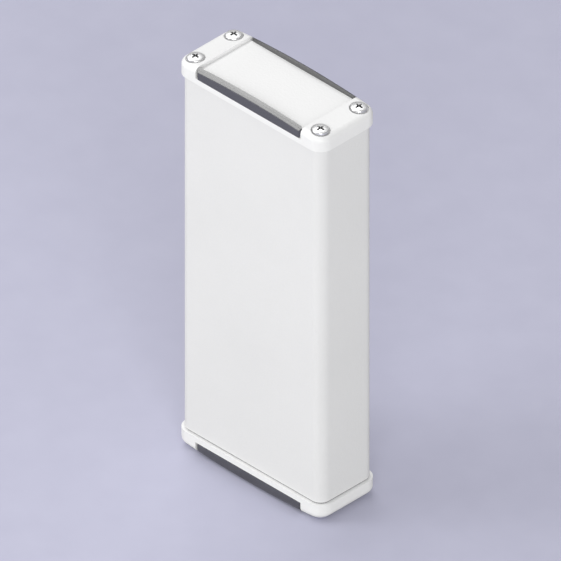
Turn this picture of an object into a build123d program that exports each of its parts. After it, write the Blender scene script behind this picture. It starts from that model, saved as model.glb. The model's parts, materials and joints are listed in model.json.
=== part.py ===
from build123d import *
import os
from math import sqrt

# Electronics enclosure: an extruded aluminium profile, closed at both ends by a screwed-on cap.
# It stands upright on its lower cap. X runs along the wide faces, Y from the front to the rear and Z up.
# The origin is the middle of the footprint, level with the lowest point. Lengths are in millimetres.

# Extruded profile
profile_width = 80.0
profile_depth = 30.6
profile_length = 173.0
profile_corner_radius = 4.7
profile_wall = 2.0

# Screw channels in the corners of the profile, each with a mouth towards the inside
screw_inset = 4.4
channel_wall = 1.4
channel_mouth = 1.7

# Guides that hold a circuit board by its edges
board_thickness = 1.6
board_play = 0.2
guide_rib_thickness = 1.2
guide_rib_length = 2.4
guide_spacing = 8.0

# Flat seals between the caps and the ends of the profile
gasket_thickness = 0.55
gasket_inset = 0.3

# End caps, with heights measured from the rim that meets the seal
cap_overhang = 1.35
crown_height = 8.55
crown_radius = 420.0
cap_edge_rounding = 2.6
end_block_width = 11.45
panel_height = 5.95
panel_skin = 1.6
tongue_thickness = 1.5
tongue_length = 4.0
tongue_play = 0.2
tongue_end_gap = 6.0
tongue_chamfer = 0.6
side_pocket_wall = 1.5

# Pan head screws with a cross recess
head_radius = 3.5
head_height = 2.6
head_bevel_width = 0.5
head_bevel_height = 0.45
shank_radius = 1.5
shank_length = 16.0
shank_play = 0.05
screw_hole_radius = 2.0
counterbore_radius = 4.1
counterbore_depth = 1.5
recess_span = 3.9
recess_width = 1.0
recess_depth = 1.5

# Trim strips along the front and rear of each cap
trim_base_height = 2.5
trim_thickness = 2.0
trim_end_gap = 0.6
trim_end_bevel = 0.75
trim_play = 0.05
trim_bevel_width = 0.25
trim_bevel_height = 1.05

# Tabs on the back of each strip, pressed into slots in the cap
tab_width = 5.0
tab_thickness = 1.2
tab_tip_bevel = 0.4
tab_play = 0.05
tab_spacing = 22.0
tab_count = 3

# Levels and sizes that follow from the values above. The enclosure stands on the crests of its lower strips.
crest_inset = cap_edge_rounding - trim_thickness + trim_bevel_width
crest_height = crown_height - cap_edge_rounding + sqrt(cap_edge_rounding**2 - crest_inset**2)
bottom_rim_level = crest_height
profile_base_level = bottom_rim_level + gasket_thickness
profile_top_level = profile_base_level + profile_length
top_rim_level = profile_top_level + gasket_thickness
overall_height = top_rim_level + crest_height
inner_width = profile_width - 2 * profile_wall
inner_depth = profile_depth - 2 * profile_wall
inner_corner_radius = profile_corner_radius - profile_wall
screw_spacing_x = profile_width - 2 * screw_inset
screw_spacing_y = profile_depth - 2 * screw_inset
channel_bore_radius = shank_radius + shank_play
channel_radius = channel_bore_radius + channel_wall
cap_width = profile_width + 2 * cap_overhang
cap_depth = profile_depth + 2 * cap_overhang
cap_corner_radius = profile_corner_radius + cap_overhang
panel_width = cap_width - 2 * end_block_width
tongue_face = inner_depth / 2 - tongue_play
cap_cavity_depth = 2 * (tongue_face - tongue_thickness)
cap_cavity_height = panel_height - panel_skin
trim_seat_depth = trim_thickness + trim_play
trim_length = panel_width - 2 * trim_end_gap
tab_height = (trim_base_height + cap_cavity_height) / 2
tab_length = cap_depth / 2 - trim_seat_depth - cap_cavity_depth / 2


def crown_level(x):
    """Height of the crown's arc above the rim, at a distance x from the middle of the cap."""
    return crown_height - crown_radius + sqrt(crown_radius**2 - x**2)


screw_seat_height = crown_level(screw_spacing_x / 2) - counterbore_depth

# Planes that the parts are drawn on
top_rim = Plane.XY.offset(top_rim_level)
middle = Plane.XY.offset(overall_height / 2)
cap_elevation = Plane.XZ.shift_origin((0, 0, top_rim_level))
trim_back = cap_elevation.offset(cap_depth / 2 - trim_thickness)

# Front view of the upper cap: an arc over the panel, and straight slopes over the end blocks
with BuildSketch(cap_elevation) as crown_view:
    with BuildLine():
        arc_end = (panel_width / 2, crown_level(panel_width / 2))
        slope_end = (cap_width / 2, crown_level(cap_width / 2))
        RadiusArc((0, crown_height), arc_end, crown_radius)
        Polyline(arc_end, slope_end, (cap_width / 2, 0), (0, 0))
        mirror(about=Plane.YZ)
    make_face()

# One extruded length: outer shell, screw channels in the corners and board guides on the side walls
with BuildPart() as profile_body:
    with BuildSketch(Plane.XY.offset(profile_base_level)):
        RectangleRounded(profile_width, profile_depth, profile_corner_radius)
        RectangleRounded(inner_width, inner_depth, inner_corner_radius, mode=Mode.SUBTRACT)
        with GridLocations(screw_spacing_x, screw_spacing_y, 2, 2):
            Circle(channel_radius)
            Circle(channel_bore_radius, mode=Mode.SUBTRACT)
        with GridLocations(screw_spacing_x - channel_radius, screw_spacing_y, 2, 2):
            Rectangle(channel_radius, channel_mouth, mode=Mode.SUBTRACT)
        with GridLocations(inner_width - guide_rib_length, guide_spacing, 2, 2):
            Rectangle(guide_rib_length, board_thickness + board_play + 2 * guide_rib_thickness)
            Rectangle(guide_rib_length, board_thickness + board_play, mode=Mode.SUBTRACT)
    extrude(amount=profile_length)

# Flat ring on the profile's outer wall, passing outside the screws
with BuildPart() as top_gasket:
    with BuildSketch(Plane.XY.offset(profile_top_level)):
        RectangleRounded(
            profile_width - 2 * gasket_inset,
            profile_depth - 2 * gasket_inset,
            profile_corner_radius - gasket_inset,
        )
        RectangleRounded(inner_width, inner_depth, inner_corner_radius, mode=Mode.SUBTRACT)
    extrude(amount=gasket_thickness)

# Cast cap: crowned outside, with a recessed middle panel between two end blocks
with BuildPart() as top_end_cap:
    with BuildSketch(top_rim):
        RectangleRounded(cap_width, cap_depth, cap_corner_radius)
    extrude(amount=crown_height)
    extrude(crown_view.sketch, amount=cap_depth, both=True, mode=Mode.INTERSECT)

    # Middle panel, sunk between the end blocks, and a seat for a trim strip on each side of it
    with BuildSketch(top_rim.offset(panel_height)):
        Rectangle(panel_width, cap_depth)
    extrude(amount=crown_height, mode=Mode.SUBTRACT)
    with BuildSketch(top_rim.offset(trim_base_height)):
        with GridLocations(0, cap_depth - trim_seat_depth, 1, 2):
            Rectangle(panel_width, trim_seat_depth)
    extrude(amount=crown_height, mode=Mode.SUBTRACT)

    # Rounding of the end blocks, all but the two edges towards the panel
    block_tops = top_end_cap.faces().sort_by(Axis.Z)[-2:]
    block_edges = block_tops.edges().sort_by(lambda edge: abs(edge.center().X))
    fillet(block_edges[2:], radius=cap_edge_rounding)

    # Tongues that locate the cap between the profile's front and rear walls
    with BuildSketch(top_rim):
        with GridLocations(0, 2 * tongue_face - tongue_thickness, 1, 2):
            Rectangle(screw_spacing_x - 2 * (channel_radius + tongue_end_gap), tongue_thickness)
    extrude(amount=-tongue_length - gasket_thickness)
    tongue_tips = top_end_cap.faces().sort_by(Axis.Z)[:2]
    chamfer(tongue_tips.edges().filter_by(Axis.X).group_by(SortBy.DISTANCE)[-1], length=tongue_chamfer)

    # Cavity under the panel, reaching out between the screw bosses
    with BuildSketch(top_rim):
        Rectangle(panel_width, cap_cavity_depth)
        Rectangle(
            inner_width - 2 * side_pocket_wall,
            screw_spacing_y - 2 * (counterbore_radius + side_pocket_wall),
        )
    extrude(amount=cap_cavity_height, mode=Mode.SUBTRACT)

    with Locations(top_rim.offset(crown_height)):
        with GridLocations(screw_spacing_x, screw_spacing_y, 2, 2):
            CounterBoreHole(screw_hole_radius, counterbore_radius, crown_height - screw_seat_height)

    # Slots for the tabs of the trim strips
    with BuildSketch(cap_elevation):
        with Locations((0, tab_height)):
            with GridLocations(tab_spacing, 0, tab_count, 1):
                Rectangle(tab_width + 2 * tab_play, tab_thickness + 2 * tab_play)
    extrude(amount=cap_depth, both=True, mode=Mode.SUBTRACT)

# Arched strip: its outer edge is rounded like the cap's, then it is cut to its outline seen from above, its
# back is bevelled along the top and the tabs are added
with BuildPart() as top_front_trim:
    with BuildSketch(cap_elevation):
        add(crown_view.sketch_local)
        with Locations((0, trim_base_height)):
            Rectangle(trim_length, crown_height, align=(Align.CENTER, Align.MIN), mode=Mode.INTERSECT)
    extrude(amount=cap_depth / 2)
    outer_face = top_front_trim.faces().sort_by(Axis.Y)[0]
    fillet(outer_face.edges().sort_by(Axis.Z)[-1], radius=cap_edge_rounding)
    with BuildSketch(top_rim.offset(trim_base_height)) as outline:
        with Locations((0, (trim_thickness - cap_depth) / 2)):
            Rectangle(trim_length, trim_thickness)
        chamfer(outline.vertices(), length=trim_end_bevel)
    extrude(amount=crown_height, mode=Mode.INTERSECT)
    back_face = top_front_trim.faces().sort_by(Axis.Y)[-1]
    chamfer(
        back_face.edges().sort_by(Axis.Z)[-1],
        length=trim_bevel_height,
        length2=trim_bevel_width,
        reference=back_face,
    )
    with BuildSketch(trim_back):
        with Locations((0, tab_height)):
            with GridLocations(tab_spacing, 0, tab_count, 1):
                Rectangle(tab_width, tab_thickness)
    extrude(amount=-tab_length)
    tab_tips = top_front_trim.faces().sort_by(Axis.Y)[-tab_count:]
    chamfer(tab_tips.edges().filter_by(Axis.X), length=tab_tip_bevel)

# One screw, drawn with the underside of its head at the origin
with BuildPart() as cap_screw:
    with BuildSketch(Plane.XZ):
        with BuildLine():
            Polyline(
                (0, head_height),
                (0, -shank_length),
                (shank_radius, -shank_length),
                (shank_radius, 0),
                (head_radius, 0),
                (head_radius, head_height - head_bevel_height),
                (head_radius - head_bevel_width, head_height),
                close=True,
            )
        make_face()
    revolve(axis=Axis.Z)
    with BuildSketch(Plane.XY.offset(head_height)):
        Rectangle(recess_span, recess_width)
        Rectangle(recess_width, recess_span)
    extrude(amount=-recess_depth, mode=Mode.SUBTRACT)

with BuildPart() as top_cap_screws:
    with Locations(top_rim.offset(screw_seat_height)):
        with GridLocations(screw_spacing_x, screw_spacing_y, 2, 2):
            add(cap_screw.part)

# The rear strip mirrors the front one, and everything at the lower end mirrors the upper end
with BuildPart() as top_rear_trim:
    mirror(top_front_trim.part, about=Plane.XZ)

with BuildPart() as bottom_end_cap:
    mirror(top_end_cap.part, about=middle)

with BuildPart() as bottom_gasket:
    mirror(top_gasket.part, about=middle)

with BuildPart() as bottom_front_trim:
    mirror(top_front_trim.part, about=middle)

with BuildPart() as bottom_rear_trim:
    mirror(top_rear_trim.part, about=middle)

with BuildPart() as bottom_cap_screws:
    mirror(top_cap_screws.part, about=middle)

pieces = {
    "profile_body": profile_body,
    "top_gasket": top_gasket,
    "bottom_gasket": bottom_gasket,
    "top_end_cap": top_end_cap,
    "bottom_end_cap": bottom_end_cap,
    "top_front_trim": top_front_trim,
    "top_rear_trim": top_rear_trim,
    "bottom_front_trim": bottom_front_trim,
    "bottom_rear_trim": bottom_rear_trim,
    "top_cap_screws": top_cap_screws,
    "bottom_cap_screws": bottom_cap_screws,
}

os.makedirs("parts", exist_ok=True)
for name, piece in pieces.items():
    piece.part.label = name
    export_step(piece.part, f"parts/{name}.step")
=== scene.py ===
import json
import math

import bmesh
import bpy
from mathutils import Matrix, Vector


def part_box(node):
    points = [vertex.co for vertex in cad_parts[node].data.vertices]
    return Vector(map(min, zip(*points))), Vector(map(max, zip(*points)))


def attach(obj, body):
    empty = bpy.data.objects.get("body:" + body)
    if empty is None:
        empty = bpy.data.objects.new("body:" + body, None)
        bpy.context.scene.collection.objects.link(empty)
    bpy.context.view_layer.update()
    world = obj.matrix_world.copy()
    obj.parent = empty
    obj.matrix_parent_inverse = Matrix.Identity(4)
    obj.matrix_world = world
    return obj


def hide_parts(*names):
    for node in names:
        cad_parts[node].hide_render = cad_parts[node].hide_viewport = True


# Looks for the electronics enclosure. The profile, caps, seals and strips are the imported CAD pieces, which
# get their materials here. The cap screws are made again, with domed heads, tapered recesses and threads.
# Lengths are in metres, noise scales in cycles per metre, and colours are linear red, green and blue.

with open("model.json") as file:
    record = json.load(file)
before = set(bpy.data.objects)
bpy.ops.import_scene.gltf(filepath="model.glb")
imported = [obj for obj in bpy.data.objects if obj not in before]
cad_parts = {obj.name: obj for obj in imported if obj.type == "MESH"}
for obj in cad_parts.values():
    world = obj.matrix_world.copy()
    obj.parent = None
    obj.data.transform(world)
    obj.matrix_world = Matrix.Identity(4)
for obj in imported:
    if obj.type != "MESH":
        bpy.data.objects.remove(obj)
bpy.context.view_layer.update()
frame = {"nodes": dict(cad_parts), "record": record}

# Pan head screw, with heights measured from the underside of its head
HEAD_RADIUS = 0.0035
HEAD_HEIGHT = 0.0026
CROWN_RADIUS = 0.012
RIM_ROUNDING = 0.0005
HEAD_FOOT_BEVEL = 0.0001
LATHE_SEGMENTS = 48
ARC_STEPS = 8
SHARP_ANGLE = math.radians(32)

# Shank and its thread. A flank slope above 1 leaves the crests flat.
THREAD_RADIUS = 0.0015
THREAD_ROOT_RADIUS = 0.00122
THREAD_PITCH = 0.00125
THREAD_FLANK_SLOPE = 1.6
THREAD_RINGS_PER_TURN = 6
SHANK_LENGTH = 0.016
NECK_LENGTH = 0.0012
TIP_LENGTH = 0.001
TIP_RADIUS = 0.0008

# Cross recess, as wide and deep as in the CAD head, with sloped walls and a shallow point in its floor.
# The solid that cuts it rises above the head.
RECESS_SPAN = 0.0039
RECESS_WIDTH = 0.001
RECESS_DEPTH = 0.0015
RECESS_CORNER = 0.0002
RECESS_POINT_DEPTH = 0.0002
RECESS_FLOOR_SCALE = 0.62
CUTTER_RISE = 0.001

# Colours of the materials
PROFILE_COAT = (0.82, 0.82, 0.82)
CAP_COAT = (0.92, 0.92, 0.92)
COAT_PATCH_SHADE = 0.97
PLASTIC_DARK = (0.016, 0.016, 0.0165)
PLASTIC_PALE = (0.026, 0.026, 0.027)
RUBBER_CLEAN = (0.15, 0.15, 0.155)
RUBBER_DUSTY = (0.21, 0.21, 0.215)
STEEL_DULL = (0.8, 0.8, 0.81)
STEEL_BRIGHT = (0.9, 0.9, 0.9)
# Painted shade: the darker colour put into the screws' recesses and hollows
STEEL_PAINTED_SHADE = (0.38, 0.38, 0.38)
PAPER_DARK = (0.52, 0.52, 0.65)
PAPER_PALE = (0.54, 0.54, 0.67)
PAPER_BOUNCE = (0.56, 0.56, 0.57)

# Nearly all values of a noise texture lie between these
NOISE_LOW = 0.3
NOISE_HIGH = 0.7

# Framing, measured on the photograph: an isometric parallel view
PHOTO_SIZE = 561
PIXELS_PER_METRE = 2487.2
VIEW_TURN = math.radians(45)
VIEW_LIFT = math.atan(math.sqrt(0.5))
VIEW_CENTRE_RIGHT = 0.001347
VIEW_CENTRE_UP = 0.075245
CAMERA_DISTANCE = 1.2

# Studio
FLOOR_REACH = 6.0
LAMP_TARGET = Vector((0, 0, 0.095))


def new_material(name):
    """An empty node material with a Principled shader, and the tree, the shader and object coordinates."""
    material = bpy.data.materials.new(name)
    material.use_nodes = True
    tree = material.node_tree
    shader = tree.nodes["Principled BSDF"]
    coords = tree.nodes.new("ShaderNodeTexCoord").outputs["Object"]
    return material, tree, shader, coords


def stretched(tree, coords, factors):
    """The coordinates multiplied by a factor along each axis."""
    node = tree.nodes.new("ShaderNodeVectorMath")
    node.operation = "MULTIPLY"
    node.inputs[1].default_value = factors
    tree.links.new(coords, node.inputs[0])
    return node.outputs["Vector"]


def noise(tree, coords, scale, detail=2.0, roughness=0.5):
    """A noise texture's value between 0 and 1."""
    node = tree.nodes.new("ShaderNodeTexNoise")
    node.inputs["Scale"].default_value = scale
    node.inputs["Detail"].default_value = detail
    node.inputs["Roughness"].default_value = roughness
    tree.links.new(coords, node.inputs["Vector"])
    return node.outputs["Fac"]


def remap(tree, value, low=0.0, high=1.0, start=NOISE_LOW, end=NOISE_HIGH):
    """A value that runs from start to end, turned into one that runs from low to high."""
    node = tree.nodes.new("ShaderNodeMapRange")
    node.inputs["From Min"].default_value = start
    node.inputs["From Max"].default_value = end
    node.inputs["To Min"].default_value = low
    node.inputs["To Max"].default_value = high
    tree.links.new(value, node.inputs["Value"])
    return node.outputs["Result"]


def blend_colours(tree, factor, first, second):
    """A colour between two others, each given as three numbers or as another node's colour."""
    node = tree.nodes.new("ShaderNodeMix")
    node.data_type = "RGBA"
    for socket, colour in (("A", first), ("B", second)):
        if isinstance(colour, tuple):
            node.inputs[socket].default_value = (*colour, 1)
        else:
            tree.links.new(colour, node.inputs[socket])
    tree.links.new(factor, node.inputs["Factor"])
    return node.outputs["Result"]


def bump(tree, height, depth, below=None):
    """A bump of the given depth, on top of another bump if there is one."""
    node = tree.nodes.new("ShaderNodeBump")
    node.inputs["Distance"].default_value = depth
    tree.links.new(height, node.inputs["Height"])
    if below:
        tree.links.new(below, node.inputs["Normal"])
    return node.outputs["Normal"]


def powder_coat(name, base, drawn_lines):
    """Satin powder coat: a fine orange peel with faint grains, over metal that may show drawn lines."""
    material, tree, shader, coords = new_material(name)
    peel = noise(tree, coords, scale=900, detail=1.0)
    grain = noise(tree, coords, scale=3200, roughness=0.6)
    patches = noise(tree, coords, scale=22, detail=3.0)
    darker = tuple(channel * COAT_PATCH_SHADE for channel in base)
    colour = blend_colours(tree, remap(tree, patches), darker, base)
    tree.links.new(colour, shader.inputs["Base Color"])
    tree.links.new(remap(tree, grain, low=0.34, high=0.48), shader.inputs["Roughness"])
    normal = bump(tree, peel, depth=0.00007)
    normal = bump(tree, grain, depth=0.000012, below=normal)
    if drawn_lines:
        along_profile = stretched(tree, coords, (1, 1, 0.004))
        lines = noise(tree, along_profile, scale=1500, detail=3.0, roughness=0.65)
        normal = bump(tree, lines, depth=0.00002, below=normal)
    tree.links.new(normal, shader.inputs["Normal"])
    shader.inputs["Specular IOR Level"].default_value = 0.45
    return material


def graphite_plastic(name):
    """Dark moulded plastic with a deep gloss, faint flow marks and hairline scuffs along the strip."""
    material, tree, shader, coords = new_material(name)
    flow = noise(tree, stretched(tree, coords, (0.25, 1, 1)), scale=160, detail=3.0)
    scuffs = noise(tree, stretched(tree, coords, (0.03, 1, 1)), scale=2600, roughness=0.7)
    grain = noise(tree, coords, scale=4200, detail=1.0)
    colour = blend_colours(tree, remap(tree, flow), PLASTIC_DARK, PLASTIC_PALE)
    tree.links.new(colour, shader.inputs["Base Color"])
    tree.links.new(remap(tree, scuffs, low=0.2, high=0.26), shader.inputs["Roughness"])
    tree.links.new(bump(tree, grain, depth=0.000001), shader.inputs["Normal"])
    shader.inputs["IOR"].default_value = 1.8
    shader.inputs["Specular IOR Level"].default_value = 0.9
    return material


def seal_rubber(name):
    """Grey silicone rubber, matt and slightly dusty."""
    material, tree, shader, coords = new_material(name)
    dust = noise(tree, coords, scale=700, detail=4.0)
    grain = noise(tree, coords, scale=3000)
    colour = blend_colours(tree, remap(tree, dust), RUBBER_CLEAN, RUBBER_DUSTY)
    tree.links.new(colour, shader.inputs["Base Color"])
    tree.links.new(remap(tree, grain, low=0.7, high=0.88), shader.inputs["Roughness"])
    tree.links.new(bump(tree, grain, depth=0.00001), shader.inputs["Normal"])
    return material


def plated_steel(name):
    """Bright plated steel with fine grain, a few duller spots, and painted shade darkening the cross recess
    and other hollows.
    """
    material, tree, shader, coords = new_material(name)
    grain = noise(tree, coords, scale=5200, roughness=0.6)
    spots = noise(tree, coords, scale=500, detail=3.0)
    clean = blend_colours(tree, remap(tree, spots), STEEL_DULL, STEEL_BRIGHT)
    # Painted shade: ambient occlusion darkens the base colour in the cross recess and other hollows, where
    # light reaches less
    recess_shade_occlusion = tree.nodes.new("ShaderNodeAmbientOcclusion")
    recess_shade_occlusion.only_local = True
    recess_shade_occlusion.inputs["Distance"].default_value = RECESS_DEPTH
    openness = remap(tree, recess_shade_occlusion.outputs["AO"], start=0.5, end=0.95)
    tree.links.new(blend_colours(tree, openness, STEEL_PAINTED_SHADE, clean), shader.inputs["Base Color"])
    tree.links.new(remap(tree, grain, low=0.3, high=0.42), shader.inputs["Roughness"])
    tree.links.new(bump(tree, grain, depth=0.000004), shader.inputs["Normal"])
    shader.inputs["Metallic"].default_value = 1.0
    return material


def floor_paper(name):
    """Pale matt paper with a lilac tint, which is left out of the light that it throws on the object."""
    material, tree, shader, coords = new_material(name)
    fibres = noise(tree, coords, scale=60, detail=4.0)
    lilac = blend_colours(tree, remap(tree, fibres), PAPER_DARK, PAPER_PALE)
    diffuse_ray = tree.nodes.new("ShaderNodeLightPath").outputs["Is Diffuse Ray"]
    tree.links.new(blend_colours(tree, diffuse_ray, lilac, PAPER_BOUNCE), shader.inputs["Base Color"])
    tree.links.new(remap(tree, fibres, low=0.85, high=0.95), shader.inputs["Roughness"])
    shader.inputs["Specular IOR Level"].default_value = 0.2
    return material


def arc_points(centre, radius, start, end):
    """Points on an arc in the half section, without the first, from one angle to another in radians."""
    angles = [start + (end - start) * step / ARC_STEPS for step in range(1, ARC_STEPS + 1)]
    return [(centre[0] + radius * math.cos(a), centre[1] + radius * math.sin(a)) for a in angles]


def head_outline():
    """Half section of the head as (radius, height) pairs, from the crown's top to the shank under it."""
    rim_x = HEAD_RADIUS - RIM_ROUNDING
    rise = math.sqrt((CROWN_RADIUS - RIM_ROUNDING) ** 2 - rim_x**2)
    crown_centre = HEAD_HEIGHT - CROWN_RADIUS
    meeting = math.atan2(rise, rim_x)
    outline = [(0, HEAD_HEIGHT)]
    outline += arc_points((0, crown_centre), CROWN_RADIUS, math.pi / 2, meeting)
    outline += arc_points((rim_x, crown_centre + rise), RIM_ROUNDING, meeting, 0)
    outline += [
        (HEAD_RADIUS, HEAD_FOOT_BEVEL),
        (HEAD_RADIUS - HEAD_FOOT_BEVEL, 0),
        (THREAD_ROOT_RADIUS, 0),
    ]
    return outline


def shank_radius(height, turn):
    """Radius of the threaded shank at a height, where turn is the angle round its axis in whole turns."""
    if height > -NECK_LENGTH:
        return THREAD_ROOT_RADIUS
    ridge = 1 - 2 * abs((height / THREAD_PITCH - turn) % 1 - 0.5)
    thread_depth = THREAD_RADIUS - THREAD_ROOT_RADIUS
    crest = THREAD_ROOT_RADIUS + thread_depth * min(1, THREAD_FLANK_SLOPE * ridge)
    above_tip = (height + SHANK_LENGTH) / TIP_LENGTH
    return min(crest, TIP_RADIUS + (THREAD_RADIUS - TIP_RADIUS) * above_tip)


def finished_mesh(shape, name):
    """A mesh made from a bmesh, with its faces turned outwards."""
    bmesh.ops.recalc_face_normals(shape, faces=shape.faces)
    mesh = bpy.data.meshes.new(name)
    shape.to_mesh(mesh)
    shape.free()
    return mesh


def screw_blank():
    """One screw without its recess: rings of vertices round Z, between a crown point and a tip face."""
    rings = [[radius] * LATHE_SEGMENTS + [height] for radius, height in head_outline()[1:]]
    turns = [segment / LATHE_SEGMENTS for segment in range(LATHE_SEGMENTS)]
    ring_count = round((SHANK_LENGTH - NECK_LENGTH) / THREAD_PITCH * THREAD_RINGS_PER_TURN)
    for step in range(ring_count + 1):
        height = -NECK_LENGTH - (SHANK_LENGTH - NECK_LENGTH) * step / ring_count
        rings.append([shank_radius(height, turn) for turn in turns] + [height])

    body = bmesh.new()
    loops = []
    for *radii, height in rings:
        loop = []
        for turn, radius in zip(turns, radii):
            angle = 2 * math.pi * turn
            loop.append(body.verts.new((radius * math.cos(angle), radius * math.sin(angle), height)))
        loops.append(loop)
    for upper, lower in zip(loops, loops[1:]):
        for i in range(LATHE_SEGMENTS):
            j = (i + 1) % LATHE_SEGMENTS
            body.faces.new((upper[i], lower[i], lower[j], upper[j]))
    crown = body.verts.new((0, 0, HEAD_HEIGHT))
    for i in range(LATHE_SEGMENTS):
        body.faces.new((crown, loops[0][i], loops[0][(i + 1) % LATHE_SEGMENTS]))
    body.faces.new(reversed(loops[-1]))
    return finished_mesh(body, "screw_blank")


def recess_cutter():
    """The solid that cuts the cross recess: a cross that narrows downwards and ends in a shallow point."""
    arm, half = RECESS_SPAN / 2, RECESS_WIDTH / 2
    inner = half + RECESS_CORNER
    quarter = [(arm, -half), (arm, half), (inner, half), (half, inner)]
    cross = []
    for turn in range(4):
        rotation = Matrix.Rotation(turn * math.pi / 2, 2)
        cross += [rotation @ Vector(point) for point in quarter]

    slope = (1 - RECESS_FLOOR_SCALE) / RECESS_DEPTH
    recess_floor = HEAD_HEIGHT - RECESS_DEPTH
    cutter = bmesh.new()
    levels = []
    for height in (HEAD_HEIGHT + CUTTER_RISE, recess_floor):
        scale = 1 + slope * (height - HEAD_HEIGHT)
        levels.append([cutter.verts.new((p.x * scale, p.y * scale, height)) for p in cross])
    top, bottom = levels
    count = len(cross)
    for i in range(count):
        j = (i + 1) % count
        cutter.faces.new((top[i], bottom[i], bottom[j], top[j]))
    cutter.faces.new(top)
    point = cutter.verts.new((0, 0, recess_floor - RECESS_POINT_DEPTH))
    for i in range(count):
        cutter.faces.new((point, bottom[(i + 1) % count], bottom[i]))
    return finished_mesh(cutter, "recess_cutter")


def screw_mesh():
    """One finished screw: the blank with the recess cut out of its head."""
    blank = bpy.data.objects.new("blank", screw_blank())
    cutter = bpy.data.objects.new("cutter", recess_cutter())
    for helper in (blank, cutter):
        bpy.context.collection.objects.link(helper)
    cut = blank.modifiers.new("recess", "BOOLEAN")
    cut.operation = "DIFFERENCE"
    cut.solver = "EXACT"
    cut.object = cutter
    mesh = bpy.data.meshes.new_from_object(blank.evaluated_get(bpy.context.evaluated_depsgraph_get()))
    for helper in (blank, cutter):
        bpy.data.objects.remove(helper)
    return mesh


def place_screws(name, node, screw, finish, points_down):
    """Four screws on the places that the CAD node's screws have, as one piece that stands for that node."""
    low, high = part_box(node)
    seat = high.z - HEAD_HEIGHT if points_down else low.z + HEAD_HEIGHT
    facing = Matrix.Identity(4) if points_down else Matrix.Rotation(math.pi, 4, "X")
    group = bmesh.new()
    for x in (low.x + HEAD_RADIUS, high.x - HEAD_RADIUS):
        for y in (low.y + HEAD_RADIUS, high.y - HEAD_RADIUS):
            placed = screw.copy()
            placed.transform(Matrix.Translation((x, y, seat)) @ facing)
            group.from_mesh(placed)
            bpy.data.meshes.remove(placed)
    mesh = finished_mesh(group, name)
    mesh.shade_smooth()
    mesh.set_sharp_from_angle(angle=SHARP_ANGLE)
    mesh.materials.clear()
    mesh.materials.append(finish)
    piece = bpy.data.objects.new(name, mesh)
    bpy.context.collection.objects.link(piece)
    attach(piece, "root")
    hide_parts(node)


def dress_cad_nodes(finishes):
    """Give each CAD node the finish of its slot in the record, and even out the glossy strips' shading."""
    slot_of_node = {entry["node"]: entry["material_slot"] for entry in frame["record"]["subparts"]}
    for node, obj in frame["nodes"].items():
        for index in range(len(obj.material_slots)):
            obj.material_slots[index].material = finishes[slot_of_node[node]]
        if slot_of_node[node] == "trim":
            even_shading = obj.modifiers.new("even_shading", "WEIGHTED_NORMAL")
            even_shading.mode = "FACE_AREA_WITH_ANGLE"


def add_floor():
    """A wide pale floor under the object."""
    mesh = bpy.data.meshes.new("floor")
    corners = [(-1, -1), (1, -1), (1, 1), (-1, 1)]
    mesh.from_pydata([(x * FLOOR_REACH, y * FLOOR_REACH, 0) for x, y in corners], [], [(0, 1, 2, 3)])
    mesh.materials.append(floor_paper("floor_paper"))
    floor = bpy.data.objects.new("floor", mesh)
    bpy.context.collection.objects.link(floor)


def add_world(strength):
    """Even white light from all round."""
    world = bpy.data.worlds.new("studio")
    bpy.context.scene.world = world
    world.use_nodes = True
    background = world.node_tree.nodes["Background"]
    background.inputs["Color"].default_value = (1, 1, 1, 1)
    background.inputs["Strength"].default_value = strength


def add_softbox(name, place, width, height, power):
    """An area light at place, aimed at the object, with its power in watts."""
    light = bpy.data.lights.new(name, "AREA")
    light.shape = "RECTANGLE"
    light.size = width
    light.size_y = height
    light.energy = power
    lamp = bpy.data.objects.new(name, light)
    lamp.location = place
    lamp.rotation_mode = "QUATERNION"
    lamp.rotation_quaternion = (LAMP_TARGET - Vector(place)).to_track_quat("-Z", "Y")
    bpy.context.collection.objects.link(lamp)


def add_camera():
    """A parallel camera at the photograph's isometric angle."""
    sideways, forwards = math.sin(VIEW_TURN), math.cos(VIEW_TURN)
    level = math.cos(VIEW_LIFT)
    back = Vector((sideways * level, -forwards * level, math.sin(VIEW_LIFT)))
    right = Vector((forwards, sideways, 0))
    up = back.cross(right)
    camera = bpy.data.objects.new("camera", bpy.data.cameras.new("camera"))
    camera.data.type = "ORTHO"
    camera.data.ortho_scale = PHOTO_SIZE / PIXELS_PER_METRE
    camera.location = right * VIEW_CENTRE_RIGHT + up * VIEW_CENTRE_UP + back * CAMERA_DISTANCE
    camera.rotation_mode = "QUATERNION"
    camera.rotation_quaternion = (-back).to_track_quat("-Z", "Y")
    bpy.context.collection.objects.link(camera)
    bpy.context.scene.camera = camera


finishes = {
    "profile": powder_coat("profile_coat", PROFILE_COAT, drawn_lines=True),
    "cap": powder_coat("cap_coat", CAP_COAT, drawn_lines=False),
    "trim": graphite_plastic("trim_plastic"),
    "gasket": seal_rubber("seal_rubber"),
    "screw": plated_steel("screw_steel"),
}
dress_cad_nodes(finishes)
one_screw = screw_mesh()
place_screws("top_pan_head_screws", "top_cap_screws", one_screw, finishes["screw"], points_down=True)
place_screws("bottom_pan_head_screws", "bottom_cap_screws", one_screw, finishes["screw"], points_down=False)
bpy.data.meshes.remove(one_screw)

add_floor()
add_world(strength=0.42)
add_softbox("left_light", place=(-0.7, -0.91, 0.55), width=0.6, height=0.9, power=4.15)
add_softbox("overhead_light", place=(-0.69, 0.05, 1.16), width=1.8, height=0.5, power=8.2)
add_softbox("fill_light", place=(0.94, -0.8, 0.6), width=0.8, height=0.8, power=9.1)
add_camera()
bpy.context.scene.view_settings.view_transform = "Standard"
